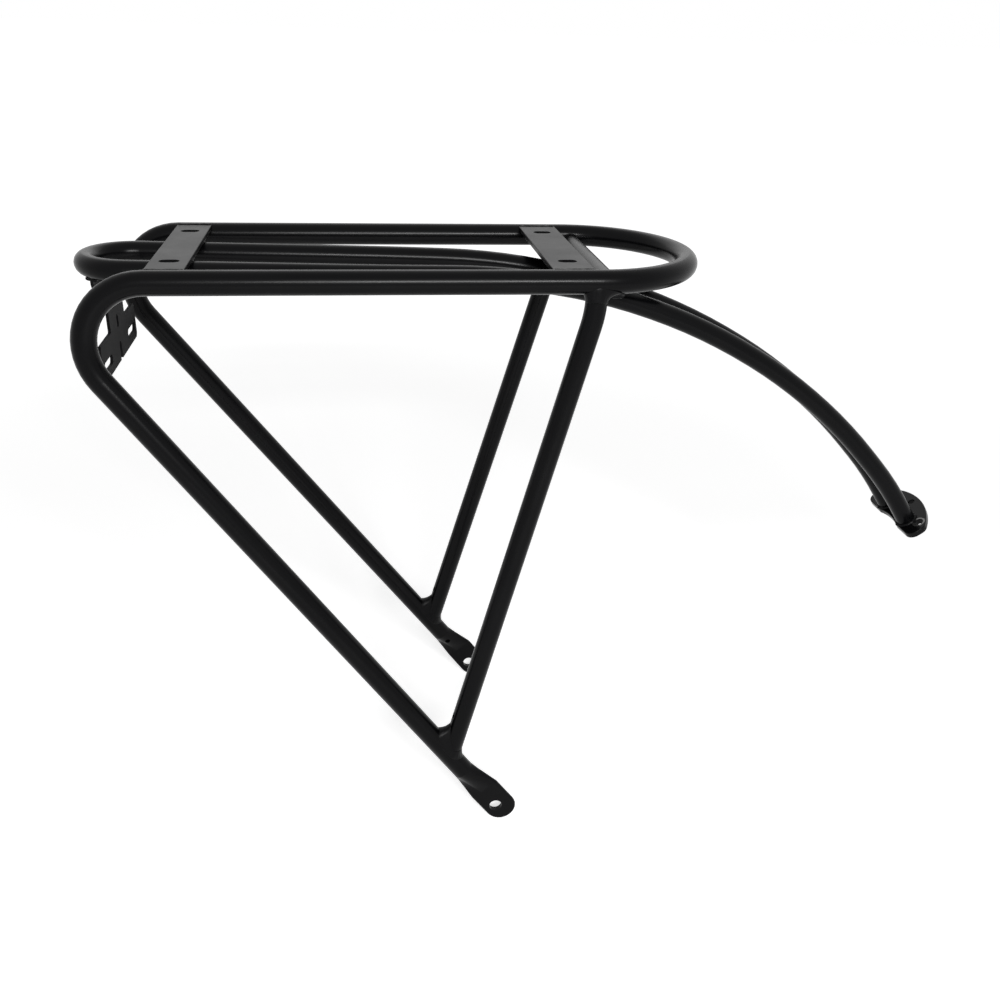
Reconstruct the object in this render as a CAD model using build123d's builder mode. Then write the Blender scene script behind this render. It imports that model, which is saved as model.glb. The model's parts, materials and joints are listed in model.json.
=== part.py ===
"""Bicycle rear carrier: a welded rack of bent round tube with two slotted deck plates.

Frame: +X towards the front of the bicycle, +Y to its left, +Z up. The origin is midway between
the two dropout eyelets, on their bolt axis. Lengths in millimetres, angles in degrees.
"""

import os
from math import asin, cos, radians, sin, sqrt, tan

from build123d import *

# Main hoop: both rear legs, both side rails and the front bow, bent from one tube
hoop_d = 13.0
hoop_wall = 1.5
rail_height = 337.0        # eyelet axis up to the rail axis
rail_spacing = 126.5       # between the two rail axes
eyelet_spacing = 162.0     # between the middles of the two tabs
leg_lean = 36.3            # rear leg from the vertical, seen from the side
rear_bend_r = 32.0         # bend from leg to rail, on the axis
bow_x = 49.5               # where the straight rails run into the half-round bow

# Flattened and drilled ends of the legs
tab_w = 19.8
tab_t = 3.2
tab_edge = 1.2             # how far the pressed edge bulges
tab_slit = 0.4             # left open between the pressed walls
tab_shift = 1.7            # middle of the flat in front of the eyelet, across the leg
tab_tip = 3.2              # centre of the rounded end past the eyelet
tab_flat = 15.0            # from the eyelet up to where the flat begins to open
tab_open = 36.0            # from the eyelet up to where the tube is round again
eyelet_d = 8.0
weep_d = 4.0               # drain holes of the legs and struts
leg_weep_up = 29.0         # from the eyelet, along the leg

# Side struts
strut_d = 12.0
strut_wall = 1.5
strut_top_x = 47.5
strut_knee_drop = 16.0     # straight stretch under the rail, from the rail axis
strut_bend_r = 60.0
strut_foot_up = 50.5       # where the strut meets the leg, from the eyelet along the leg
strut_weep_up = 31.0       # from that point, along the strut

# Deck plates
plate_t = 3.0
plate_edge_r = 0.5         # round on the plates' cut edges
plate_below_top = 0.6      # plate top under the top of the rails
rear_plate_ahead = 9.8     # its middle in front of the end of the rear bends
rear_plate_w = 20.0
front_plate_x = 35.5
front_plate_w = 22.6
deck_slot_l = 10.6
deck_slot_w = 6.6
deck_slot_spacing = 80.0   # between the two slots of one plate

# Hairpin: two inner rails, the rear U and the two stays, bent from one tube
hairpin_d = 12.0
hairpin_wall = 1.5
hairpin_spacing = 49.4     # between the axes of the inner rails
hairpin_tilt = 1.1         # the inner rails fall towards the front
hairpin_u_behind = 26.1    # centre of the rear U behind the middle of the rear plate
stay_r = 389.0             # their large bend, on the axis
stay_spacing = 27.0        # between the stays at the mount plate
stay_bends = 6             # arcs that the large bend is rolled in
stay_closing = 5           # how early the stays draw together
bend_share = 0.48          # share of a run that a bend may take at each end
seat_gap = 0.3             # between parts that only a weld joins

# Cross tube
cross_d = 12.0
cross_wall = 1.5
cross_x = 57.0
cross_drop = 4.5           # its axis under the axes of the rails
cross_inset = 3.0          # its ends stop short of the rail axes

# Front mount plate
mount_x = 286.0            # where the axes of the stays end on its rear face
mount_t = 4.0
mount_w = 60.0
arch_r = 42.0              # its arched upper edge
arch_rise = 17.0           # top of the arch above the ends of the stays
mount_below = 7.0          # lower edge under the ends of the stays
mount_corner_r = 6.0
dip_w = 24.0               # shallow dip in the middle of the lower edge
dip_h = 1.8
frame_hole_d = 5.5
frame_hole_spacing = 45.2
frame_hole_rise = 4.7      # above the ends of the stays
upper_hole_d = 4.5
upper_hole_rise = 11.8

# Light bracket
bracket_t = 1.6
bracket_ahead = 11.3       # its upright plate, in front of the tip of the U
bracket_w = 93.0
stem_w = 38.0
stem_top_drop = 4.0        # top edge of the stem under the U's axis
stem_top_ahead = 5.8       # top of the stem, against the shoulders of the U
stem_lip = 10.0            # its upright lip, under the U's axis
stem_bend_drop = 24.0      # where the stem turns upright again
stem_bend_r = 8.0
lamp_drop = 48.8           # lamp slots under the U's axis
arm_above = 13.0           # arm above the lamp slots' axis
arm_below = 7.6            # and below it
arm_chamfer = 2.0
arm_corner_r = 1.0         # inner corner between stem and arm
lamp_slot_l = 20.3
lamp_slot_w = 5.3
lamp_slot_edge = 3.85      # left between a lamp slot and the end of its arm
reflector_slot_l = 7.5
reflector_slot_w = 4.5
reflector_rise = 14.8      # above the lamp slots' axis
notch_w = 5.0
notch_h = 10.5

# Weld beads
tube_weld = 2.4            # leg of a bead between two tubes
plate_weld_r = 2.0         # bead between a deck plate and a rail
plate_weld_sink = 0.8      # its middle under the plate's top
seat_weld_r = 4.0          # bead under the rear plate, and over the hairpin
mount_weld = 1.4           # leg of a bead between a stay and the mount plate
weld_toe = 0.3             # thickness that a bead runs out to
bracket_weld_r = 3.0
bracket_weld_leg = 1.5

# Places that follow from the sizes above
hoop_r = hoop_d / 2
hairpin_r = hairpin_d / 2
cross_r = cross_d / 2
rail_y = rail_spacing / 2
eyelet_y = eyelet_spacing / 2
hairpin_y = hairpin_spacing / 2
bend_end_x = rear_bend_r * tan(radians(45 + leg_lean / 2)) - rail_height * tan(radians(leg_lean))
rear_plate_x = bend_end_x + rear_plate_ahead
hairpin_u_x = rear_plate_x - hairpin_u_behind
lamp_slot_spacing = bracket_w - lamp_slot_l - 2 * lamp_slot_edge
plate_top = rail_height + hoop_r - plate_below_top
plate_under = plate_top - plate_t
hairpin_z = plate_under - seat_gap - hairpin_r
tilt = radians(hairpin_tilt)
lean = radians(leg_lean)
leg_up = Vector(-sin(lean), 0, cos(lean))
leg_across = Vector(cos(lean), 0, sin(lean))
sides = {"right": -1, "left": 1}


def side_point(side, x, z):
    """Point of a side frame's plane, which holds the rail and the leg."""
    y = rail_y + (eyelet_y - rail_y) * (1 - z / rail_height)
    return Vector(x, side * y, z)


def eyelet(side):
    """Centre of a leg's eyelet."""
    return Vector(0, side * eyelet_y, 0)


def leg_corner(side):
    """Where the leg's axis would meet the rail's axis without the bend."""
    return side_point(side, -rail_height * tan(lean), rail_height)


def leg_point(side, up):
    """Point of the leg's axis, a distance up from the eyelet."""
    return eyelet(side) + (leg_corner(side) - eyelet(side)).normalized() * up


def hairpin_point(x, y):
    """Point at the height of the tilted inner rails."""
    return Vector(x, y, hairpin_z - (x - rear_plate_x) * tan(tilt))


# The stays' large bend, in the plane of symmetry: it starts where it then just passes under the cross tube
cross_z = rail_height - cross_drop
cross_reach = stay_r + hairpin_r + cross_r + seat_gap
cross_over = (cross_z - hairpin_point(cross_x, 0).Z) * cos(tilt)
run_up = sqrt(cross_reach**2 - (stay_r + cross_over) ** 2)
stay_start_x = cross_x + cross_over * sin(tilt) - run_up * cos(tilt)
bend_start = hairpin_point(stay_start_x, 0)
bend_x = bend_start.X - stay_r * sin(tilt)
bend_z = bend_start.Z - stay_r * cos(tilt)
cross_angle = asin((cross_x - bend_x) / cross_reach)
stay_fall = asin((mount_x - bend_x) / stay_r)
bend_step = (stay_fall - tilt) / stay_bends


def bend_point(radius, angle, y):
    """Point at a distance from the centre of the stays' large bend."""
    return Vector(bend_x + radius * sin(angle), y, bend_z + radius * cos(angle))


def stay_y(angle):
    """Half the distance between the stays along their bend."""
    done = (angle - tilt) / (stay_fall - tilt)
    return stay_spacing / 2 + (hairpin_spacing - stay_spacing) / 2 * (1 - done) ** stay_closing


def bend_radii(points):
    """Largest bend at each inner point that leaves its runs their straight middles."""
    radii = []
    for before, here, after in zip(points, points[1:], points[2:]):
        run = min((here - before).length, (after - here).length)
        turn = radians((here - before).get_angle(after - here))
        radii.append(bend_share * run / tan(turn / 2))
    return radii


def rod(path, diameter):
    """Solid round bar along a path."""
    with BuildPart() as bar:
        with BuildSketch(Plane(path @ 0, z_dir=path % 0)):
            Circle(diameter / 2)
        sweep(path=path)
    return bar.part


def tube(path, diameter, wall):
    """Round tube along a path."""
    with BuildPart() as pipe:
        with BuildSketch(Plane(path @ 0, z_dir=path % 0)):
            Circle(diameter / 2)
            Circle(diameter / 2 - wall, mode=Mode.SUBTRACT)
        sweep(path=path)
    return pipe.part


def round_section(plane, diameter):
    """Circle in four arcs, to match the four sides of a pressed section."""
    corner = 35
    with BuildSketch(plane) as section:
        with BuildLine():
            CenterArc((0, 0), diameter / 2, -corner, 2 * corner)
            CenterArc((0, 0), diameter / 2, corner, 180 - 2 * corner)
            CenterArc((0, 0), diameter / 2, 180 - corner, 2 * corner)
            CenterArc((0, 0), diameter / 2, 180 + corner, 180 - 2 * corner)
        make_face()
    return section.sketch


def pressed_section(plane, width, height, bulge):
    """Flattened tube: two flats joined by shallow arcs."""
    x = width / 2
    y = height / 2
    with BuildSketch(plane) as section:
        with BuildLine():
            ThreePointArc((x - bulge, -y), (x, 0), (x - bulge, y))
            Line((x - bulge, y), (bulge - x, y))
            ThreePointArc((bulge - x, y), (-x, 0), (bulge - x, -y))
            Line((bulge - x, -y), (x - bulge, -y))
        make_face()
    return section.sketch


def joint_weld(at, main_dir, main_d, branch_at, branch_dir, branch_d, leg, cores):
    """Bead in the corner where a branch tube ends on a main tube."""
    reach = main_d + branch_d
    with BuildPart() as bead:
        with BuildSketch(Plane(at, z_dir=main_dir)):
            Circle(main_d / 2 + leg)
        extrude(amount=reach, both=True)
        with BuildSketch(Plane(branch_at, z_dir=branch_dir)):
            Circle(branch_d / 2 + leg)
        extrude(amount=reach, mode=Mode.INTERSECT)
        for core in cores:
            add(core, mode=Mode.SUBTRACT)
    return bead.part


def save(part, name):
    """Label a finished piece and write its file."""
    part.label = name
    export_step(part, f"parts/{name}.step")


os.makedirs("parts", exist_ok=True)

# Path of the main hoop, from the left leg round the bow to the right leg
left_start = leg_point(1, tab_open)
right_start = leg_point(-1, tab_open)
left_rail_end = side_point(1, bow_x, rail_height)
right_rail_end = side_point(-1, bow_x, rail_height)
with BuildLine() as hoop_line:
    FilletPolyline(left_start, leg_corner(1), left_rail_end, radius=rear_bend_r)
    ThreePointArc(left_rail_end, (bow_x + rail_y, 0, rail_height), right_rail_end)
    FilletPolyline(right_rail_end, leg_corner(-1), right_start, radius=rear_bend_r)
hoop_path = hoop_line.wire()
hoop_core = rod(hoop_path, hoop_d)

# Path of the hairpin, from the left stay round the U to the right stay
stay_points = [hairpin_point(hairpin_u_x, hairpin_y)]
stay_points.append(hairpin_point(stay_start_x - stay_r * tan(bend_step / 2), hairpin_y))
for bend in range(stay_bends):
    angle = tilt + (bend + 0.5) * bend_step
    stay_points.append(bend_point(stay_r / cos(bend_step / 2), angle, stay_y(angle)))
stay_end = bend_point(stay_r, stay_fall, stay_spacing / 2)
stay_dir = Vector(cos(stay_fall), 0, -sin(stay_fall))
stay_points.append(stay_end + stay_dir * hairpin_d)
stay_radii = bend_radii(stay_points)
mirrored = [Vector(point.X, -point.Y, point.Z) for point in stay_points]
u_tip = hairpin_point(hairpin_u_x - hairpin_y * cos(tilt), 0)
with BuildLine() as hairpin_line:
    FilletPolyline(*reversed(stay_points), radius=list(reversed(stay_radii)))
    ThreePointArc(stay_points[0], u_tip, mirrored[0])
    FilletPolyline(*mirrored, radius=stay_radii)
hairpin_path = hairpin_line.wire()
mount_dir = Vector(cos(stay_fall), 0, -sin(stay_fall))
mount_plane = Plane((mount_x, 0, stay_end.Z), x_dir=(0, 1, 0), z_dir=mount_dir)

with BuildPart() as hairpin_solid:
    add(rod(hairpin_path, hairpin_d))
    split(bisect_by=mount_plane, keep=Keep.BOTTOM)
hairpin_core = hairpin_solid.part

# Paths of the struts
strut_paths = {}
for name, side in sides.items():
    foot = leg_point(side, strut_foot_up)
    knee = side_point(side, strut_top_x, rail_height - strut_knee_drop)
    head = side_point(side, strut_top_x, rail_height)
    with BuildLine() as strut_line:
        FilletPolyline(foot, knee, head, radius=strut_bend_r)
    strut_paths[name] = strut_line.wire()

# Axis of the cross tube, which rests on the hairpin
cross_half = rail_y - cross_inset
with BuildLine() as cross_line:
    Line((cross_x, -cross_half, cross_z), (cross_x, cross_half, cross_z))
cross_path = cross_line.wire()
cross_core = rod(cross_path, cross_d)

# Main hoop with its pressed and drilled leg ends
with BuildPart() as main_hoop:
    add(hoop_core)
    for side in sides.values():
        centre = eyelet(side)
        leg_dir = leg_point(side, 1) - centre
        open_plane = Plane(leg_point(side, tab_open), x_dir=leg_across, z_dir=leg_dir)
        flat_plane = Plane(centre + leg_across * tab_shift + leg_up * tab_flat, x_dir=leg_across, z_dir=leg_up)
        tip = centre + leg_across * tab_shift - leg_up * tab_tip
        tip_plane = Plane(tip, x_dir=leg_across, z_dir=leg_up)
        flat = pressed_section(flat_plane, tab_w, tab_t, tab_edge)
        loft(sections=[flat.face(), round_section(open_plane, hoop_d).face()])
        extrude(flat.face(), amount=tab_flat + tab_tip, dir=-leg_up)
        with BuildSketch(tip_plane) as half_section:
            add(pressed_section(Plane.XY, tab_w, tab_t, tab_edge))
            split(bisect_by=Plane.YZ, keep=Keep.TOP)
        revolve(axis=Axis(tip, (0, 1, 0)), revolution_arc=180)
    add(rod(hoop_path, hoop_d - 2 * hoop_wall), mode=Mode.SUBTRACT)
    for side in sides.values():
        centre = eyelet(side)
        leg_dir = leg_point(side, 1) - centre
        open_plane = Plane(leg_point(side, tab_open), x_dir=leg_across, z_dir=leg_dir)
        flat_plane = Plane(centre + leg_across * tab_shift + leg_up * tab_flat, x_dir=leg_across, z_dir=leg_up)
        slit = pressed_section(flat_plane, tab_w - 2 * hoop_wall, tab_slit, tab_slit / 3)
        bore = round_section(open_plane, hoop_d - 2 * hoop_wall)
        loft(sections=[slit.face(), bore.face()], mode=Mode.SUBTRACT)
        with BuildSketch(Plane(centre, z_dir=(0, 1, 0))):
            Circle(eyelet_d / 2)
        extrude(amount=tab_t, both=True, mode=Mode.SUBTRACT)
        with BuildSketch(Plane(leg_point(side, leg_weep_up), z_dir=(0, -side, 0))):
            Circle(weep_d / 2)
        extrude(amount=hoop_d, mode=Mode.SUBTRACT)
save(main_hoop.part, "main_hoop")

# Hairpin
with BuildPart() as centre_hairpin:
    add(tube(hairpin_path, hairpin_d, hairpin_wall))
    split(bisect_by=mount_plane, keep=Keep.BOTTOM)
save(centre_hairpin.part, "centre_hairpin")

# Struts, coped onto the leg and the rail
strut_cores = {}
for name, side in sides.items():
    path = strut_paths[name]
    strut_cores[name] = rod(path, strut_d)
    foot_dir = path % 0
    with BuildPart() as strut:
        add(tube(path, strut_d, strut_wall))
        add(hoop_core, mode=Mode.SUBTRACT)
        with BuildSketch(Plane(path @ 0 + foot_dir * strut_weep_up, z_dir=(-1, 0, 0))):
            Circle(weep_d / 2)
        extrude(amount=strut_d, mode=Mode.SUBTRACT)
    save(strut.part, f"{name}_strut")

# Cross tube, coped onto the rails and clear of the struts
with BuildPart() as cross_tube:
    add(tube(cross_path, cross_d, cross_wall))
    add(hoop_core, mode=Mode.SUBTRACT)
    add(strut_cores["left"], mode=Mode.SUBTRACT)
    split(bisect_by=Plane.XZ, keep=Keep.BOTTOM)
    mirror(about=Plane.XZ)
save(cross_tube.part, "cross_tube")

# Deck plates, coped onto the rails
deck_plates = {"rear": (rear_plate_x, rear_plate_w), "front": (front_plate_x, front_plate_w)}
plate_parts = {}
for name, (x, width) in deck_plates.items():
    with BuildPart() as deck_plate:
        with BuildSketch(Plane((x, 0, plate_under))):
            Rectangle(width, rail_spacing)
            with GridLocations(0, deck_slot_spacing, 1, 2):
                SlotOverall(deck_slot_l, deck_slot_w, mode=Mode.SUBTRACT)
        extrude(amount=plate_t)
        flats = deck_plate.faces().filter_by(Axis.Z)
        fillet(flats.edges().filter_by(Axis.Y), plate_edge_r)
        add(hoop_core, mode=Mode.SUBTRACT)
    plate_parts[name] = deck_plate.part
    save(deck_plate.part, f"{name}_deck_plate")

# Light bracket: a bent profile, cut to the outline of stem and arms
lamp_z = u_tip.Z - lamp_drop
bracket_x = u_tip.X + bracket_ahead
stem_top_x = u_tip.X + stem_top_ahead
bracket_plane = Plane((bracket_x, 0, lamp_z), x_dir=(0, 1, 0), z_dir=(1, 0, 0))
with BuildPart() as light_bracket:
    with BuildSketch(Plane.XZ):
        with BuildLine():
            FilletPolyline(
                (stem_top_x, u_tip.Z),
                (stem_top_x, u_tip.Z - stem_lip),
                (bracket_x, u_tip.Z - stem_bend_drop),
                (bracket_x, lamp_z - arm_below),
                radius=stem_bend_r,
            )
            offset(amount=bracket_t / 2, side=Side.BOTH, kind=Kind.INTERSECTION)
        make_face()
    extrude(amount=bracket_w / 2, both=True)
    with BuildSketch(bracket_plane) as outline:
        with Locations((0, -arm_below)):
            Rectangle(bracket_w, arm_above + arm_below, align=(Align.CENTER, Align.MIN))
        chamfer(outline.vertices(), arm_chamfer)
        Rectangle(stem_w, lamp_drop - stem_top_drop, align=(Align.CENTER, Align.MIN))
        stem_corners = outline.vertices().filter_by_position(Axis.X, -stem_w, stem_w)
        fillet(stem_corners.sort_by(Axis.Y)[:2], arm_corner_r)
        with GridLocations(lamp_slot_spacing, 0, 2, 1):
            SlotOverall(lamp_slot_l, lamp_slot_w, mode=Mode.SUBTRACT)
        with Locations((0, reflector_rise)):
            SlotOverall(reflector_slot_l, reflector_slot_w, rotation=90, mode=Mode.SUBTRACT)
        with Locations((0, -arm_below)):
            SlotOverall(2 * notch_h, notch_w, rotation=90, mode=Mode.SUBTRACT)
    extrude(amount=bracket_x - u_tip.X + hairpin_d, both=True, mode=Mode.INTERSECT)
    add(hairpin_core, mode=Mode.SUBTRACT)
save(light_bracket.part, "light_bracket")

# Front mount plate, square to the ends of the stays
dip_r = (dip_w**2 / 4 + dip_h**2) / (2 * dip_h)
with BuildPart() as front_mount_plate:
    with BuildSketch(mount_plane) as outline:
        with Locations((0, arch_rise - arch_r)):
            Circle(arch_r)
        with Locations((0, -mount_below)):
            Rectangle(mount_w, arch_rise + mount_below, align=(Align.CENTER, Align.MIN), mode=Mode.INTERSECT)
        fillet(outline.vertices(), mount_corner_r)
        with Locations((0, dip_h - mount_below - dip_r)):
            Circle(dip_r, mode=Mode.SUBTRACT)
        with Locations((0, frame_hole_rise)):
            with GridLocations(frame_hole_spacing, 0, 2, 1):
                Circle(frame_hole_d / 2, mode=Mode.SUBTRACT)
        with Locations((0, upper_hole_rise)):
            Circle(upper_hole_d / 2, mode=Mode.SUBTRACT)
    extrude(amount=mount_t)
    broad_faces = front_mount_plate.faces().sort_by(Axis(mount_plane.origin, mount_dir))
    rims = broad_faces[0].outer_wire().edges() + broad_faces[-1].outer_wire().edges()
    fillet(rims, plate_edge_r)
save(front_mount_plate.part, "front_mount_plate")

# Weld beads of the two side frames
for name, side in sides.items():
    path = strut_paths[name]
    strut_core = strut_cores[name]
    head = side_point(side, strut_top_x, rail_height)
    foot = leg_point(side, strut_foot_up)
    leg_dir = leg_point(side, 1) - eyelet(side)
    cross_end = Vector(cross_x, side * rail_y, cross_z)
    rail_at = Vector(cross_x, side * rail_y, rail_height)

    top_cores = [hoop_core, strut_core, cross_core]
    top_weld = joint_weld(head, (1, 0, 0), hoop_d, head, -(path % 1), strut_d, tube_weld, top_cores)
    save(top_weld, f"{name}_strut_top_weld")

    foot_cores = [hoop_core, strut_core]
    foot_weld = joint_weld(foot, leg_dir, hoop_d, foot, path % 0, strut_d, tube_weld, foot_cores)
    save(foot_weld, f"{name}_strut_foot_weld")

    cross_cores = [hoop_core, cross_core, strut_core, top_weld]
    cross_weld = joint_weld(
        rail_at, (1, 0, 0), hoop_d, cross_end, (0, -side, 0), cross_d, tube_weld, cross_cores
    )
    save(cross_weld, f"{name}_cross_tube_weld")

    crossing = bend_point(stay_r + hairpin_r, cross_angle, side * stay_y(cross_angle))
    with BuildPart() as crossing_weld:
        with BuildSketch(Plane(crossing, x_dir=(0, 1, 0), z_dir=(sin(cross_angle), 0, cos(cross_angle)))):
            Circle(seat_weld_r)
        extrude(amount=seat_weld_r / 2, both=True)
        add(hairpin_core, mode=Mode.SUBTRACT)
        add(cross_core, mode=Mode.SUBTRACT)
    save(crossing_weld.part, f"{name}_crossing_weld")

    for plate, (x, width) in deck_plates.items():
        half_chord = sqrt(hoop_r**2 - (plate_top - rail_height) ** 2)
        bead_at = Vector(x, side * (rail_y - half_chord), plate_top - plate_weld_sink)
        with BuildPart() as plate_weld:
            with BuildSketch(Plane(bead_at, z_dir=(1, 0, 0))):
                Circle(plate_weld_r)
            extrude(amount=width / 2 - plate_edge_r, both=True)
            add(hoop_core, mode=Mode.SUBTRACT)
            add(plate_parts[plate], mode=Mode.SUBTRACT)
        save(plate_weld.part, f"{name}_{plate}_plate_weld")

    with BuildPart() as seat_weld:
        with BuildSketch(Plane((rear_plate_x, side * hairpin_y, plate_under), z_dir=(1, 0, 0))):
            Circle(seat_weld_r)
        extrude(amount=rear_plate_w / 2 - plate_edge_r, both=True)
        add(plate_parts["rear"], mode=Mode.SUBTRACT)
        add(hairpin_core, mode=Mode.SUBTRACT)
        split(bisect_by=Plane.XY.offset(plate_under), keep=Keep.BOTTOM)
    save(seat_weld.part, f"{name}_hairpin_seat_weld")

    with BuildPart() as stay_weld:
        with BuildSketch(mount_plane):
            with Locations((side * stay_spacing / 2, 0)):
                Circle(hairpin_r + mount_weld)
        with BuildSketch(mount_plane.offset(-mount_weld)):
            with Locations((side * stay_spacing / 2, 0)):
                Circle(hairpin_r + weld_toe)
        loft()
        add(hairpin_core, mode=Mode.SUBTRACT)
    save(stay_weld.part, f"{name}_stay_weld")

# Weld beads of the light bracket, where its stem meets the shoulders of the U
with BuildPart() as bracket_weld:
    add(rod(hairpin_path, hairpin_d + 2 * bracket_weld_leg))
    with BuildSketch(Plane((stem_top_x, 0, u_tip.Z - hairpin_r), z_dir=(0, 1, 0))):
        Circle(bracket_weld_r)
    extrude(amount=stem_w / 2, both=True, mode=Mode.INTERSECT)
    add(hairpin_core, mode=Mode.SUBTRACT)
    add(light_bracket.part, mode=Mode.SUBTRACT)
save(bracket_weld.part, "light_bracket_weld")
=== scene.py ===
"""Welded bicycle rear carrier in black powder coat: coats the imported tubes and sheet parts,
lays the weld beads and sets the stage."""

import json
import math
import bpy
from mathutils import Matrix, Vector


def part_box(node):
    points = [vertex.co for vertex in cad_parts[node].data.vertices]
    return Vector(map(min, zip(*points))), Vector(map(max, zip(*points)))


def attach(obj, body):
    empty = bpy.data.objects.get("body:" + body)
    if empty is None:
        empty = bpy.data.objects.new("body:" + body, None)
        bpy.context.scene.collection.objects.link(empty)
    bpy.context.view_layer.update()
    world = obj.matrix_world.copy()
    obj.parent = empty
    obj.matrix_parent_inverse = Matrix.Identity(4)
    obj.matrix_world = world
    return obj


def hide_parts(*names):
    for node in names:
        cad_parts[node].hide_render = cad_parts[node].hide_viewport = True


bl_info = {
    "name": "Welded Rear Carrier",
    "version": (1, 0, 0),
    "blender": (4, 5, 0),
    "location": "View3D > Sidebar > Carrier",
    "description": "Powder coat, weld beads and stage for a welded bicycle rear carrier",
    "category": "Object",
}

import bmesh
import bpy
from mathutils import Matrix, Vector, noise

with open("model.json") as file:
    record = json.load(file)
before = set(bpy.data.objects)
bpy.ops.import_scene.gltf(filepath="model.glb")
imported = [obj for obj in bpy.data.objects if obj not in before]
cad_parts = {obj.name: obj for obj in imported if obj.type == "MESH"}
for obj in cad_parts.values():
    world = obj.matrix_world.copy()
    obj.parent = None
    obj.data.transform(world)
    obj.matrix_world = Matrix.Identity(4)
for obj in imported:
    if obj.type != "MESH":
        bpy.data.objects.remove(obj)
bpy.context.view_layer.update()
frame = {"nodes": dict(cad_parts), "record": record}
NODES = frame["nodes"]

MM = 0.001
SIDES = {"left": 1, "right": -1}
FORWARD = Vector((1, 0, 0))
WHITE = (1.0, 1.0, 1.0, 1.0)

TUBES = ("main_hoop", "centre_hairpin", "left_strut", "right_strut", "cross_tube")
DECK_PLATES = ("rear_deck_plate", "front_deck_plate")
SMALL_BEADS = ("cross_tube_weld", "crossing_weld", "rear_plate_weld", "front_plate_weld",
               "hairpin_seat_weld", "stay_weld")

# Where the tubes meet, in the part's own frame, for the left side; y turns over on the right
RAIL_R = 6.5 * MM
STRUT_R = 6.0 * MM
STRUT_HEAD = Vector((47.5, 63.25, 337.0)) * MM
STRUT_HEAD_DOWN = Vector((0.0, 0.0526, -0.9986))
STRUT_FOOT = Vector((-29.87, 78.86, 40.66)) * MM
STRUT_FOOT_UP = Vector((0.2657, -0.0507, 0.9627))
LEG_UP = Vector((-0.5915, -0.0424, 0.8052))

# Top of the deck plates, and the middle and radius of the cross tube
DECK_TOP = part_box("rear_deck_plate")[1].z
CROSS_LOW, CROSS_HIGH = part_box("cross_tube")
CROSS_TUBE = (CROSS_LOW + CROSS_HIGH) / 2
CROSS_TUBE_R = (CROSS_HIGH.z - CROSS_LOW.z) / 2

# Left bolt hole of the front mounting plate: its middle, axis and radius
BOLT = next(mount for mount in frame["record"]["mounts"] if mount["name"] == "front_frame_hole_left")
BOLT_HOLE = Vector(BOLT["pos_m"])
BOLT_AXIS = Vector(BOLT["axis"])
BOLT_R = BOLT["dims"]["r_mm"] * MM

# Powder coat: length over which the film drifts, what that does to its satin, and depth of the peel
FILM_DRIFT = 35 * MM
THICK_ROUGHER = 0.04
THIN_SMOOTHER = 0.03
PEEL_DEPTH = 0.05 * MM

# Masked rings: how far their edge wanders and over what length, where it fades past the ring's
# radius, and where the coated wall of the hole ends past the hole's radius
MASK_WANDER = 1.2 * MM
MASK_PATCH = 4 * MM
MASK_FADE_START = 0.5 * MM
MASK_FADE_END = 0.9 * MM
WALL_END = 0.1 * MM
WALL_FADE_END = 0.3 * MM
BARE_METALLIC = 0.8

# Strut welds: reaches away from their fuller side, share of the hollow that this side fills, seeds
COLLAR_REACH = 1.2 * MM
COLLAR_FILL = 0.0
COLLAR_SEED = 1.7
FOOT_REACH_LEG = 3.6 * MM
FOOT_REACH_STRUT = 4.6 * MM
FOOT_FILL = 0.55
FOOT_SEED = 2.9

# Strut welds: mesh of the ring, wander of its two edges, and the crown over and root under its face
RING_SIDES = 28
RING_STEPS = 144
RING_SECTION = 0.25
WANDER_RATE = 2.1
LOW_WANDER = 0.5 * MM
WIDE_WANDER = 0.4 * MM
CROWN = 0.4 * MM
CROWN_BEAT = 0.12
CROWN_WANDER = 0.5
BEAT_WANDER = 2.2
BEAT_SLANT = 1.6
ROOT_IN = 1.2 * MM
ROOT_BACK = 1.0 * MM
ROOT_SINK = 0.3 * MM

# Small welds: joining distance, softening, and how the ripples share out the ripple height
MERGE = 0.002 * MM
SOFTEN_ROUNDS = 3
SOFTEN = 0.5
SWELL = 0.55
FINE_RIPPLE = 0.9
BROAD_RIPPLE = 0.5
BROAD_PITCH = 3
SEED_STEP_X = 3.7
SEED_STEP_Y = 1.3

# Small welds: share that stands over the deck plates, and thickness of the cross tube's beads, to
# which most of what stands further out is drawn in
PLATE_BEAD_SHARE = 0.5
CROSS_BEAD = 0.4 * MM
CROSS_BEAD_DRAW = 0.92

# Stage, in metres: half the floor, where its glow grows and from what to what, and the world's light
FLOOR_HALF = 30.0
GLOW_FROM = 0.5
GLOW_TO = 1.8
GLOW_NEAR = 0.53
GLOW_FAR = 0.85
WORLD_LIGHT = 0.25
LAMP_TARGET = Vector((0.0, 0.0, 0.3))
SENSOR_MM = 36.0
CLIP_NEAR = 0.01
CLIP_FAR = 100.0


def linear(hex_code):
    """An sRGB hex value as a linear colour with alpha."""
    parts = [int(hex_code[i:i + 2], 16) / 255 for i in (1, 3, 5)]
    return tuple(p / 12.92 if p <= 0.04045 else ((p + 0.055) / 1.055) ** 2.4 for p in parts) + (1.0,)


def add_node(tree, kind, inputs=None, **settings):
    """One shader node with its settings; an input is a value or another node's output."""
    made = tree.nodes.new(kind)
    for key, value in settings.items():
        setattr(made, key, value)
    for key, value in (inputs or {}).items():
        if isinstance(value, bpy.types.NodeSocket):
            tree.links.new(value, made.inputs[key])
        else:
            made.inputs[key].default_value = value
    return made


def new_material(name):
    """A material with an empty tree and its output."""
    material = bpy.data.materials.new(name)
    material.use_nodes = True
    material.node_tree.nodes.clear()
    return material, material.node_tree, add_node(material.node_tree, "ShaderNodeOutputMaterial")


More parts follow.
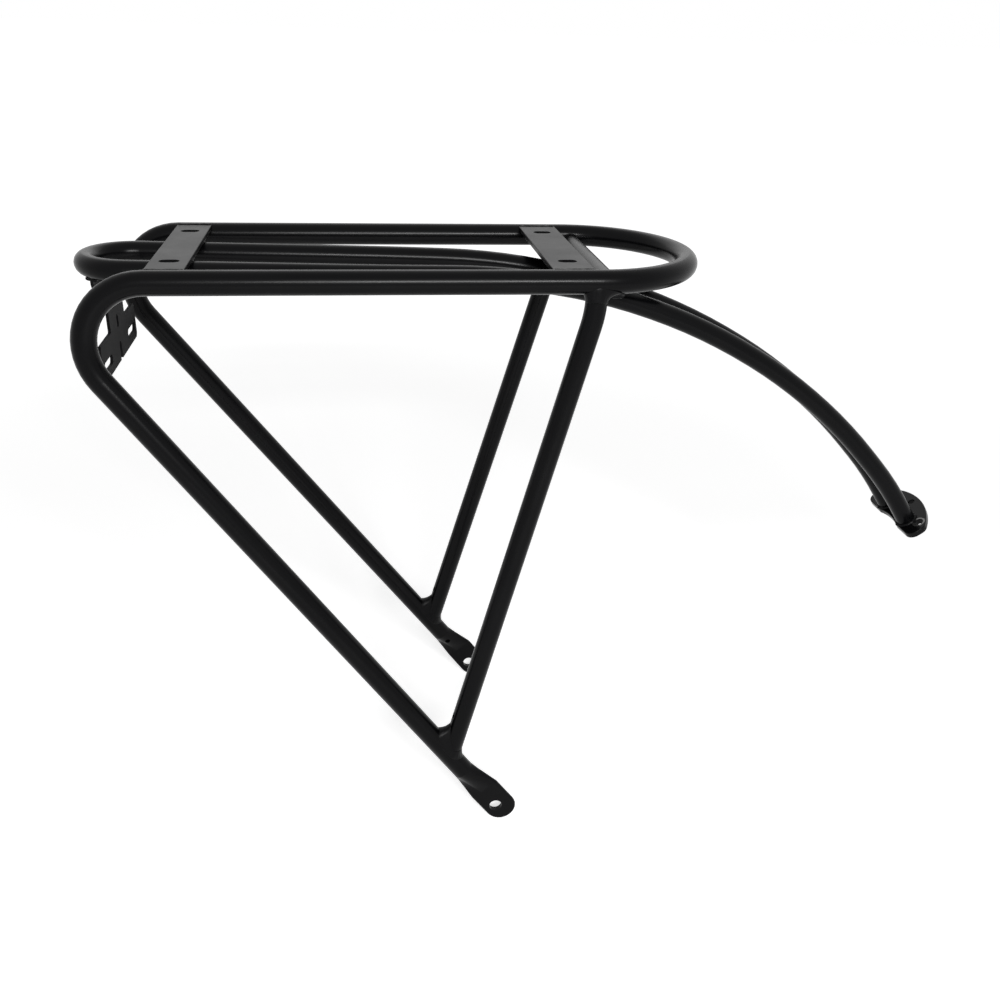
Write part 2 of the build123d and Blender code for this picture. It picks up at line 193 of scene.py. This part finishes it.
class CarrierCoat(bpy.types.PropertyGroup):
    """Colours and grain of the coating."""
    colour: bpy.props.FloatVectorProperty(
        name="Coat colour", description="Black of the powder coat", subtype="COLOR",
        size=4, min=0.0, max=1.0, default=linear("#040405"))
    thin_colour: bpy.props.FloatVectorProperty(
        name="Thin coat colour", description="Where the coat lies thinner and looks greyer", subtype="COLOR",
        size=4, min=0.0, max=1.0, default=linear("#080809"))
    bare_colour: bpy.props.FloatVectorProperty(
        name="Bare metal colour", description="Aluminium round the masked bolt holes", subtype="COLOR",
        size=4, min=0.0, max=1.0, default=linear("#585857"))
    roughness: bpy.props.FloatProperty(
        name="Roughness", description="Satin of the coat", subtype="FACTOR", min=0.0, max=1.0, default=0.24)
    gloss: bpy.props.FloatProperty(
        name="Gloss", description="Specular level of the coat", subtype="FACTOR", min=0.0, max=1.0,
        default=0.08)
    peel: bpy.props.FloatProperty(
        name="Orange peel", description="Width of one ripple of the sprayed coat", unit="LENGTH",
        default=1.4 * MM)
    bare_radius: bpy.props.FloatProperty(
        name="Bare ring", description="Radius of the masked ring round a bolt hole", unit="LENGTH",
        default=3.9 * MM)


class CarrierBeads(bpy.types.PropertyGroup):
    """Sizes of the weld beads."""
    grain: bpy.props.FloatProperty(
        name="Bead grain", description="Mesh size of the melted beads", unit="LENGTH", default=0.4 * MM)
    pitch: bpy.props.FloatProperty(
        name="Ripple pitch", description="From one ripple of a bead to the next", unit="LENGTH",
        default=2.2 * MM)
    ripple: bpy.props.FloatProperty(
        name="Ripple height", description="How far the ripples stand up", unit="LENGTH", default=0.35 * MM)
    collar_drop: bpy.props.FloatProperty(
        name="Collar drop", description="Lower edge of the collar under the rail's axis", unit="LENGTH",
        default=10.8 * MM)
    collar_web: bpy.props.FloatProperty(
        name="Collar web", description="How far the collar runs forward along the rail", unit="LENGTH",
        default=8.0 * MM)
    foot_web: bpy.props.FloatProperty(
        name="Foot web", description="How far the foot bead fills the fork of leg and strut", unit="LENGTH",
        default=10.0 * MM)


class CarrierStage(bpy.types.PropertyGroup):
    """Floor, lamps and camera."""
    floor_drop: bpy.props.FloatProperty(
        name="Floor drop", description="Floor below the eyelets", unit="LENGTH", default=0.012)
    front_power: bpy.props.FloatProperty(
        name="Front lamp", description="Soft box over the camera", unit="POWER", default=17.0)
    back_power: bpy.props.FloatProperty(
        name="Back lamp", description="Soft box behind and above the carrier", unit="POWER", default=3.2)
    place: bpy.props.FloatVectorProperty(
        name="Camera place", description="Where the camera stands", subtype="XYZ", unit="LENGTH",
        default=(-0.08011, -0.58357, 0.46279))
    yaw: bpy.props.FloatProperty(
        name="Yaw", description="Camera turn to the right", subtype="ANGLE", default=math.radians(8.666))
    pitch: bpy.props.FloatProperty(
        name="Pitch", description="Camera tilt down", subtype="ANGLE", default=math.radians(25.59))
    roll: bpy.props.FloatProperty(
        name="Roll", description="Camera roll", subtype="ANGLE", default=math.radians(1.92))
    lens: bpy.props.FloatProperty(
        name="Lens", description="Focal length on a 36 mm sensor", unit="CAMERA", default=36.44)


def bare_rings(tree, coords, coat):
    """1 on the rings that were masked round the two bolt holes, and 0 on the coat. The edge is
    uneven where the mask sat, and the coat ran down the wall of the hole."""
    parts = add_node(tree, "ShaderNodeSeparateXYZ", {"Vector": coords}).outputs
    near = add_node(tree, "ShaderNodeMath", {0: parts["Y"]}, operation="ABSOLUTE").outputs["Value"]
    folded = add_node(tree, "ShaderNodeCombineXYZ", {"X": parts["X"], "Y": near, "Z": parts["Z"]})
    # Distance from the axis of the nearer bolt hole
    off = add_node(tree, "ShaderNodeVectorMath", {0: folded.outputs["Vector"], 1: BOLT_HOLE},
                   operation="SUBTRACT")
    arm = add_node(tree, "ShaderNodeVectorMath", {0: off.outputs["Vector"], 1: BOLT_AXIS},
                   operation="CROSS_PRODUCT")
    away = add_node(tree, "ShaderNodeVectorMath", {0: arm.outputs["Vector"]},
                    operation="LENGTH").outputs["Value"]
    edge = add_node(tree, "ShaderNodeTexNoise", {"Vector": coords, "Scale": 1 / MASK_PATCH, "Detail": 2.0})
    uneven = add_node(tree, "ShaderNodeMath", {0: edge.outputs["Fac"], 1: MASK_WANDER, 2: away},
                      operation="MULTIPLY_ADD")
    ring = add_node(tree, "ShaderNodeMapRange",
                    {"Value": uneven.outputs["Value"], "From Min": coat.bare_radius + MASK_FADE_END,
                     "From Max": coat.bare_radius + MASK_FADE_START})
    flat = add_node(tree, "ShaderNodeMapRange",
                    {"Value": away, "From Min": BOLT_R + WALL_END, "From Max": BOLT_R + WALL_FADE_END})
    return add_node(tree, "ShaderNodeMath", {0: ring.outputs["Result"], 1: flat.outputs["Result"]},
                    operation="MULTIPLY").outputs["Value"]


def powder_coat(name, coat, rougher=0.0, bare=False):
    """Black polyester powder coat, sprayed and baked: a satin film that flows into a fine
    orange peel, a touch greyer and glossier where it lies thin. Where bare is set, the rings
    that were masked round the bolt holes show plain aluminium."""
    material, tree, output = new_material(name)
    coords = add_node(tree, "ShaderNodeTexCoord").outputs["Object"]
    # The peel of a powder coat: shallow ripples, a millimetre or more wide
    peel = add_node(tree, "ShaderNodeTexNoise",
                    {"Vector": coords, "Scale": 1 / coat.peel, "Detail": 2.0, "Roughness": 0.45})
    bump = add_node(tree, "ShaderNodeBump",
                    {"Height": peel.outputs["Fac"], "Strength": 0.25, "Distance": PEEL_DEPTH})
    # The film's thickness drifts over a few centimetres
    film = add_node(tree, "ShaderNodeTexNoise", {"Vector": coords, "Scale": 1 / FILM_DRIFT, "Detail": 3.0,
                                                 "Roughness": 0.6}).outputs["Fac"]
    thin = add_node(tree, "ShaderNodeMapRange", {"Value": film, "From Min": 0.35, "From Max": 0.75})
    # On a Mix node set to colours, sockets 6 and 7 are its colours and 2 its result
    tint = add_node(tree, "ShaderNodeMix", {0: thin.outputs["Result"], 6: coat.colour, 7: coat.thin_colour},
                    data_type="RGBA").outputs[2]
    satin = coat.roughness + rougher
    rough = add_node(tree, "ShaderNodeMapRange",
                     {"Value": film, "From Min": 0.3, "From Max": 0.7,
                      "To Min": satin + THICK_ROUGHER, "To Max": satin - THIN_SMOOTHER})
    metal = 0.0
    if bare:
        rings = bare_rings(tree, coords, coat)
        tint = add_node(tree, "ShaderNodeMix", {0: rings, 6: tint, 7: coat.bare_colour},
                        data_type="RGBA").outputs[2]
        metal = add_node(tree, "ShaderNodeMath", {0: rings, 1: BARE_METALLIC},
                         operation="MULTIPLY").outputs["Value"]
    shader = add_node(tree, "ShaderNodeBsdfPrincipled",
                      {"Base Color": tint, "Metallic": metal, "Roughness": rough.outputs["Result"],
                       "IOR": 1.5, "Specular IOR Level": coat.gloss, "Normal": bump.outputs["Normal"]})
    tree.links.new(shader.outputs["BSDF"], output.inputs["Surface"])
    return material


def dress(nodes, material):
    """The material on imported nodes, in place of the plain one."""
    for name in nodes:
        slots = NODES[name].data.materials
        slots.clear()
        slots.append(material)


def finish_piece(bm, name, material, *nodes):
    """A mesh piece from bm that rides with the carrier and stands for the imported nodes."""
    bmesh.ops.recalc_face_normals(bm, faces=bm.faces)
    mesh = bpy.data.meshes.new(name)
    bm.to_mesh(mesh)
    bm.free()
    mesh.shade_smooth()
    mesh.materials.append(material)
    piece = bpy.data.objects.new(name, mesh)
    bpy.context.scene.collection.objects.link(piece)
    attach(piece, "root")
    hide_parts(*nodes)


def turned(vector, side):
    """The same vector on the left (1) or the right (-1) side."""
    return Vector((vector.x, vector.y * side, vector.z))


def grown(least, most, ahead):
    """A reach that grows from least to most towards the fuller side, where ahead is 1."""
    return least + (most - least) * ahead ** 2


def saddle_depth(run, branch, out):
    """How far along the branch, from the running tube's axis, its line at out leaves that tube."""
    step = branch - run * branch.dot(run)
    off = (out - run * out.dot(run)) * STRUT_R
    lean = step.dot(off)
    root = math.sqrt(lean ** 2 - step.length_squared * (off.length_squared - RAIL_R ** 2))
    return (root - lean) / step.length_squared


def fillet_ring(joint, run, branch, full, reach_run, reach_branch, fill, beads, seed):
    """A closed weld ring round a branch tube on a running tube. run and branch are directions,
    full points to the fuller side, and the two reaches give the bead's width on each tube,
    from how far a point looks to the fuller side and how deep the saddle lies there. fill is
    the share of the hollow that the fuller side closes."""
    across = run.cross(branch).normalized()
    along = branch.cross(across).normalized()
    if along.dot(full) < 0:
        along, across = -along, -across
    bm = bmesh.new()
    upright = Matrix.Translation((1, 0, 0)) @ Matrix.Rotation(math.pi / 2, 4, "X")
    start = bmesh.ops.create_circle(bm, segments=RING_SIDES, radius=RING_SECTION, matrix=upright)["verts"]
    rim = list({edge for vert in start for edge in vert.link_edges})
    bmesh.ops.spin(bm, geom=start + rim, cent=(0, 0, 0), axis=(0, 0, 1), angle=2 * math.pi,
                   steps=RING_STEPS, use_merge=True)
    for vert in bm.verts:
        turn = math.atan2(vert.co.y, vert.co.x)
        section = math.atan2(vert.co.z, math.hypot(vert.co.x, vert.co.y) - 1) % (2 * math.pi)
        out = along * math.cos(turn) + across * math.sin(turn)
        ahead = max(0.0, math.cos(turn))
        wander = noise.noise(Vector((math.cos(turn), math.sin(turn), seed)) * WANDER_RATE)
        depth = saddle_depth(run, branch, out)
        saddle = branch * depth + out * STRUT_R
        # The bead's edge on the branch, and its edge on the running tube
        low = branch * (depth + reach_branch(ahead, depth) + wander * LOW_WANDER) + out * STRUT_R
        wide = saddle + out * (reach_run(ahead) + wander * WIDE_WANDER)
        round_run = (wide - run * wide.dot(run)).normalized()
        wide = run * wide.dot(run) + round_run * RAIL_R
        face = (out + round_run).normalized()
        # The first half of a section is the bead's face, and the second its root in the joint
        if section <= math.pi:
            share = section / math.pi
            heart = saddle.lerp((wide + low) / 2, fill * ahead ** 2)
            beat = math.sin(turn * 2 * math.pi * STRUT_R / beads.pitch + BEAT_WANDER * wander
                            + share * BEAT_SLANT)
            swell = CROWN + beads.ripple * (CROWN_BEAT * beat + CROWN_WANDER * wander)
            lift = math.sin(math.pi * share) * swell
        else:
            share = 2 - section / math.pi
            heart = saddle - out * ROOT_IN - branch * ROOT_BACK
            lift = -ROOT_SINK
        place = wide * (1 - share) ** 2 + heart * 2 * share * (1 - share) + low * share ** 2
        vert.co = joint + place + face * lift
    return bm


def even_mesh(node, beads):
    """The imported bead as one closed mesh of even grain."""
    copy = bpy.data.objects.new("molten", NODES[node].data.copy())
    bpy.context.scene.collection.objects.link(copy)
    bm = bmesh.new()
    bm.from_mesh(copy.data)
    bmesh.ops.remove_doubles(bm, verts=bm.verts, dist=MERGE)
    bm.to_mesh(copy.data)
    bm.free()
    remesh = copy.modifiers.new("even", "REMESH")
    remesh.mode = "VOXEL"
    remesh.voxel_size = beads.grain
    mesh = bpy.data.meshes.new_from_object(copy.evaluated_get(bpy.context.evaluated_depsgraph_get()))
    bpy.data.objects.remove(copy)
    bm = bmesh.new()
    bm.from_mesh(mesh)
    bpy.data.meshes.remove(mesh)
    if not bm.faces:
        raise RuntimeError(f"the bead {node} melted away")
    return bm


def melted(node, beads, seed):
    """A packed bead gone over as real weld metal: an even mesh, softened, with uneven ripples."""
    bm = even_mesh(node, beads)
    for _ in range(SOFTEN_ROUNDS):
        bmesh.ops.smooth_vert(bm, verts=bm.verts, factor=SOFTEN, use_axis_x=True, use_axis_y=True,
                              use_axis_z=True)
    bm.normal_update()
    shift = Vector((seed * SEED_STEP_X, seed * SEED_STEP_Y, 0.0))
    for vert in bm.verts:
        fine = FINE_RIPPLE * noise.noise(vert.co / beads.pitch + shift)
        broad = BROAD_RIPPLE * noise.noise(vert.co / (BROAD_PITCH * beads.pitch) + shift)
        vert.co += vert.normal * beads.ripple * (SWELL + fine + broad)
        if "plate" in node and vert.co.z > DECK_TOP:
            # The plate beads were laid low, nearly level with the plates
            vert.co.z = DECK_TOP + PLATE_BEAD_SHARE * (vert.co.z - DECK_TOP)
        if "cross_tube" in node:
            # The cross tube's beads were drawn in close round the tube
            off = Vector((vert.co.x - CROSS_TUBE.x, 0.0, vert.co.z - CROSS_TUBE.z))
            spare = off.length - CROSS_TUBE_R - CROSS_BEAD
            if spare > 0:
                vert.co -= off.normalized() * CROSS_BEAD_DRAW * spare
    return bm


def seen_rays(tree):
    """1 for a ray from the eye, from gloss or through glass, and 0 for one that brings light."""
    rays = add_node(tree, "ShaderNodeLightPath").outputs
    seen = rays["Is Camera Ray"]
    for kind in ("Is Glossy Ray", "Is Transmission Ray"):
        seen = add_node(tree, "ShaderNodeMath", {0: seen, 1: rays[kind]},
                        operation="MAXIMUM").outputs["Value"]
    return seen


def white_paper():
    """Matt white paper: white to the eye and in reflections, and still takes the shadow."""
    material, tree, output = new_material("White paper floor")
    # The sweep brightens away from the carrier, so its far edge meets the white behind it
    place = add_node(tree, "ShaderNodeTexCoord").outputs["Object"]
    away = add_node(tree, "ShaderNodeVectorMath", {0: place}, operation="LENGTH")
    sweep = add_node(tree, "ShaderNodeMapRange",
                     {"Value": away.outputs["Value"], "From Min": GLOW_FROM, "From Max": GLOW_TO,
                      "To Min": GLOW_NEAR, "To Max": GLOW_FAR}, interpolation_type="SMOOTHSTEP")
    level = add_node(tree, "ShaderNodeMath", {0: seen_rays(tree), 1: sweep.outputs["Result"]},
                     operation="MULTIPLY")
    glow = add_node(tree, "ShaderNodeEmission", {"Color": WHITE, "Strength": level.outputs["Value"]})
    matt = add_node(tree, "ShaderNodeBsdfDiffuse", {"Color": linear("#f0f0f0")})
    both = add_node(tree, "ShaderNodeAddShader", {0: matt.outputs["BSDF"], 1: glow.outputs["Emission"]})
    tree.links.new(both.outputs["Shader"], output.inputs["Surface"])
    return material


def white_studio():
    """A world that is white all round for the eye and for gloss, and dimmer as light on the carrier."""
    world = bpy.data.worlds.new("white studio")
    world.use_nodes = True
    tree = world.node_tree
    tree.nodes.clear()
    level = add_node(tree, "ShaderNodeMapRange",
                     {"Value": seen_rays(tree), "To Min": WORLD_LIGHT, "To Max": 1.0})
    sky = add_node(tree, "ShaderNodeBackground", {"Color": WHITE, "Strength": level.outputs["Result"]})
    output = add_node(tree, "ShaderNodeOutputWorld")
    tree.links.new(sky.outputs["Background"], output.inputs["Surface"])
    return world


class CARRIER_OT_coat_tubes(bpy.types.Operator):
    """Puts the powder coat on the hoop, the hairpin, the struts and the cross tube"""
    bl_idname = "carrier.coat_tubes"
    bl_label = "Coat Tubes"

    def execute(self, context):
        dress(TUBES, powder_coat("Powder coat on tube", context.scene.carrier_coat))
        return {"FINISHED"}


class CARRIER_OT_coat_plates(bpy.types.Operator):
    """Puts the powder coat on the deck plates and the light bracket"""
    bl_idname = "carrier.coat_plates"
    bl_label = "Coat Sheet Parts"

    def execute(self, context):
        coat = context.scene.carrier_coat
        dress(DECK_PLATES, powder_coat("Powder coat on deck plate", coat, rougher=0.12))
        dress(["light_bracket"], powder_coat("Powder coat on bracket", coat, rougher=0.4))
        return {"FINISHED"}


class CARRIER_OT_coat_mount(bpy.types.Operator):
    """Puts the powder coat on the front plate, with the masked rings left bare"""
    bl_idname = "carrier.coat_mount"
    bl_label = "Coat Front Plate"

    def execute(self, context):
        coat = powder_coat("Powder coat with masked rings", context.scene.carrier_coat, bare=True)
        dress(["front_mount_plate"], coat)
        return {"FINISHED"}


class CARRIER_OT_collars(bpy.types.Operator):
    """Lays the collars under the rails and the beads at the feet of the struts"""
    bl_idname = "carrier.collars"
    bl_label = "Strut Welds"

    def execute(self, context):
        beads = context.scene.carrier_beads
        coat = powder_coat("Powder coat on strut weld", context.scene.carrier_coat, rougher=0.12)
        for name, side in SIDES.items():
            collar = fillet_ring(
                turned(STRUT_HEAD, side), FORWARD, turned(STRUT_HEAD_DOWN, side), FORWARD,
                lambda ahead: grown(COLLAR_REACH, beads.collar_web, ahead),
                lambda ahead, depth: beads.collar_drop - depth,
                COLLAR_FILL, beads, side * COLLAR_SEED)
            finish_piece(collar, f"{name}_strut_collar", coat, f"{name}_strut_top_weld")
            leg_up = turned(LEG_UP, side)
            foot = fillet_ring(
                turned(STRUT_FOOT, side), leg_up, turned(STRUT_FOOT_UP, side), leg_up,
                lambda ahead: grown(FOOT_REACH_LEG, beads.foot_web, ahead),
                lambda ahead, depth: grown(FOOT_REACH_STRUT, beads.foot_web, ahead),
                FOOT_FILL, beads, side * FOOT_SEED)
            finish_piece(foot, f"{name}_foot_bead", coat, f"{name}_strut_foot_weld")
        return {"FINISHED"}


class CARRIER_OT_beads(bpy.types.Operator):
    """Lays the small beads of the plates, the hairpin, the cross tube and the bracket"""
    bl_idname = "carrier.beads"
    bl_label = "Small Welds"

    def execute(self, context):
        beads = context.scene.carrier_beads
        coat = powder_coat("Powder coat on weld bead", context.scene.carrier_coat, rougher=0.14)
        nodes = [f"{name}_{bead}" for name in SIDES for bead in SMALL_BEADS] + ["light_bracket_weld"]
        for seed, node in enumerate(nodes):
            finish_piece(melted(node, beads, seed), node.replace("_weld", "_bead"), coat, node)
        return {"FINISHED"}


class CARRIER_OT_stage(bpy.types.Operator):
    """Sets the pale floor, the soft lamps, the world and the camera"""
    bl_idname = "carrier.stage"
    bl_label = "Stage"

    def execute(self, context):
        scene = context.scene
        stage = scene.carrier_stage

        bm = bmesh.new()
        bmesh.ops.create_grid(bm, x_segments=1, y_segments=1, size=FLOOR_HALF,
                              matrix=Matrix.Translation((0, 0, -stage.floor_drop)))
        mesh = bpy.data.meshes.new("floor")
        bm.to_mesh(mesh)
        bm.free()
        mesh.materials.append(white_paper())
        floor = bpy.data.objects.new("floor", mesh)
        scene.collection.objects.link(floor)
        scene.world = white_studio()

        # Each lamp's name, place, width, depth and power
        lamps = (("front_box", Vector((0.1, -1.2, 0.78)), 0.6, 0.13, stage.front_power),
                 ("back_box", Vector((0.0, 1.3, 1.1)), 1.6, 0.8, stage.back_power))
        for name, place, width, depth, power in lamps:
            light = bpy.data.lights.new(name, "AREA")
            light.shape = "RECTANGLE"
            light.size = width
            light.size_y = depth
            light.energy = power
            lamp = bpy.data.objects.new(name, light)
            lamp.location = place
            lamp.rotation_euler = (LAMP_TARGET - place).to_track_quat("-Z", "Y").to_euler()
            scene.collection.objects.link(lamp)

        eye = bpy.data.cameras.new("camera")
        eye.sensor_width = SENSOR_MM
        eye.lens = stage.lens
        eye.clip_start = CLIP_NEAR
        eye.clip_end = CLIP_FAR
        camera = bpy.data.objects.new("camera", eye)
        camera.matrix_world = (Matrix.Translation(stage.place) @ Matrix.Rotation(-stage.yaw, 4, "Z")
                               @ Matrix.Rotation(math.pi / 2 - stage.pitch, 4, "X")
                               @ Matrix.Rotation(stage.roll, 4, "Z"))
        scene.collection.objects.link(camera)
        scene.camera = camera
        scene.view_settings.view_transform = "Standard"
        return {"FINISHED"}


STEPS = (CARRIER_OT_coat_tubes, CARRIER_OT_coat_plates, CARRIER_OT_coat_mount, CARRIER_OT_collars,
         CARRIER_OT_beads, CARRIER_OT_stage)


class CARRIER_PT_panel(bpy.types.Panel):
    """The carrier's sizes, colours and steps"""
    bl_idname = "CARRIER_PT_panel"
    bl_label = "Rear Carrier"
    bl_space_type = "VIEW_3D"
    bl_region_type = "UI"
    bl_category = "Carrier"

    def draw(self, context):
        for group in (context.scene.carrier_coat, context.scene.carrier_beads, context.scene.carrier_stage):
            box = self.layout.box()
            for key in group.__annotations__:
                box.prop(group, key)
        for step in STEPS:
            self.layout.operator(step.bl_idname)


GROUPS = {"carrier_coat": CarrierCoat, "carrier_beads": CarrierBeads, "carrier_stage": CarrierStage}
CLASSES = (*GROUPS.values(), *STEPS, CARRIER_PT_panel)


def register():
    for cls in CLASSES:
        bpy.utils.register_class(cls)
    for key, group in GROUPS.items():
        setattr(bpy.types.Scene, key, bpy.props.PointerProperty(type=group))


def unregister():
    for key in GROUPS:
        delattr(bpy.types.Scene, key)
    for cls in reversed(CLASSES):
        bpy.utils.unregister_class(cls)


def main():
    register()
    bpy.ops.carrier.coat_tubes()
    bpy.ops.carrier.coat_plates()
    bpy.ops.carrier.coat_mount()
    bpy.ops.carrier.collars()
    bpy.ops.carrier.beads()
    bpy.ops.carrier.stage()


if __name__ == "__main__":
    main()
